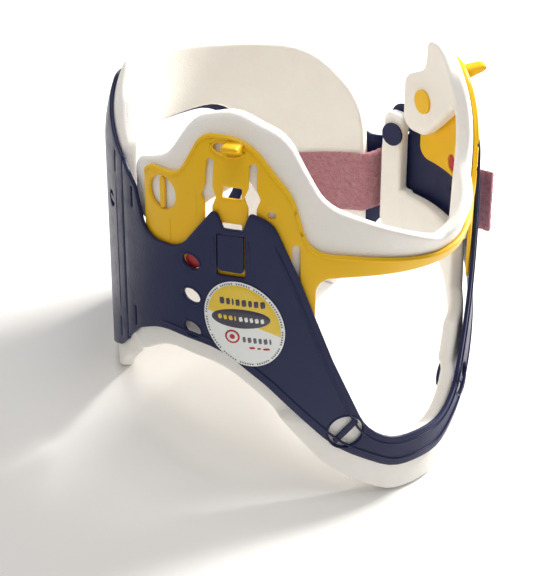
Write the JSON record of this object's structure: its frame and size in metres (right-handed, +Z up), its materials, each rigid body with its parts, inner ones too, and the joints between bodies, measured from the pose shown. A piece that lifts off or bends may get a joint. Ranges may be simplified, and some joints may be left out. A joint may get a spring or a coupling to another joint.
{
  "type": "adjustable cervical collar",
  "caption": "Child's rigid neck collar: wrap-round body sheet with a tracheal opening, height-set chin piece, hinged back panel, foam pads and a hook-and-loop strap.",
  "frame": {"origin": "middle of the collar's base, on the table it stands on", "axes": "+Z up, the wearer's front and the breast tip towards -Y, the wearer's left and the strap towards +X"},
  "size_m": [0.1646, 0.184, 0.1522],
  "materials": {
    "navy_plastic": "satin moulded polyethylene sheet with a fine grain",
    "yellow_plastic": "satin moulded polyethylene",
    "white_foam": "matt closed-cell foam with a smooth skin",
    "pink_loop": "brushed loop pile strap",
    "hook_tape": "moulded hook tape",
    "red_mark": "matt ink",
    "label_print": "laminated print"
  },
  "bodies": {
    "front": {"front_shell": "navy_plastic", "yoke_foam": "white_foam", "chest_button_right": "navy_plastic", "chest_button_left": "navy_plastic", "side_button_left": "navy_plastic", "hook_patch": "hook_tape", "label": "label_print", "guide_pin_right_1": "navy_plastic", "guide_pin_right_2": "navy_plastic", "guide_pin_right_3": "navy_plastic", "guide_pin_left_1": "navy_plastic", "guide_pin_left_2": "navy_plastic", "guide_pin_left_3": "navy_plastic"},
    "chin": {"chin_piece": "yellow_plastic", "chin_foam": "white_foam", "chin_button_right": "yellow_plastic", "chin_button_left": "yellow_plastic", "cannula_hook_right": "yellow_plastic", "cannula_hook_left": "yellow_plastic", "size_mark_right": "red_mark", "size_mark_left": "red_mark"},
    "back": {"back_panel": "navy_plastic", "back_foam": "white_foam", "side_button_right": "navy_plastic", "strap_root": "pink_loop"},
    "strap": {"closure_strap": "pink_loop"},
    "tab_right": {"lock_tab_right": "navy_plastic"},
    "tab_left": {"lock_tab_left": "navy_plastic"}
  },
  "joints": [
    {"name": "chin_height", "type": "slide", "parent": "front", "child": "chin", "axis": [0, 0.225, 0.9744], "range_m": [-0.03, 0]},
    {"name": "back_fold", "type": "hinge", "parent": "front", "child": "back", "pos_m": [-0.08069, 0.02115, 0.07143], "axis": [0, 0.225, 0.9744], "range_deg": [0, 100]},
    {"name": "strap_peel", "type": "hinge", "parent": "back", "child": "strap", "pos_m": [0.07833, 0.01365, 0.07316], "axis": [0, 0.225, 0.9744], "range_deg": [0, 90]},
    {"name": "tab_right_flex", "type": "hinge", "parent": "front", "child": "tab_right", "pos_m": [-0.07014, -0.02658, 0.10954], "axis": [-0.5227, 0.8307, -0.1918], "range_deg": [0, 18], "stiffness_Nm_per_rad": 0.02},
    {"name": "tab_left_flex", "type": "hinge", "parent": "front", "child": "tab_left", "pos_m": [0.06277, -0.02658, 0.10954], "axis": [-0.5227, -0.8307, 0.1918], "range_deg": [0, 18], "stiffness_Nm_per_rad": 0.02}
  ]
}
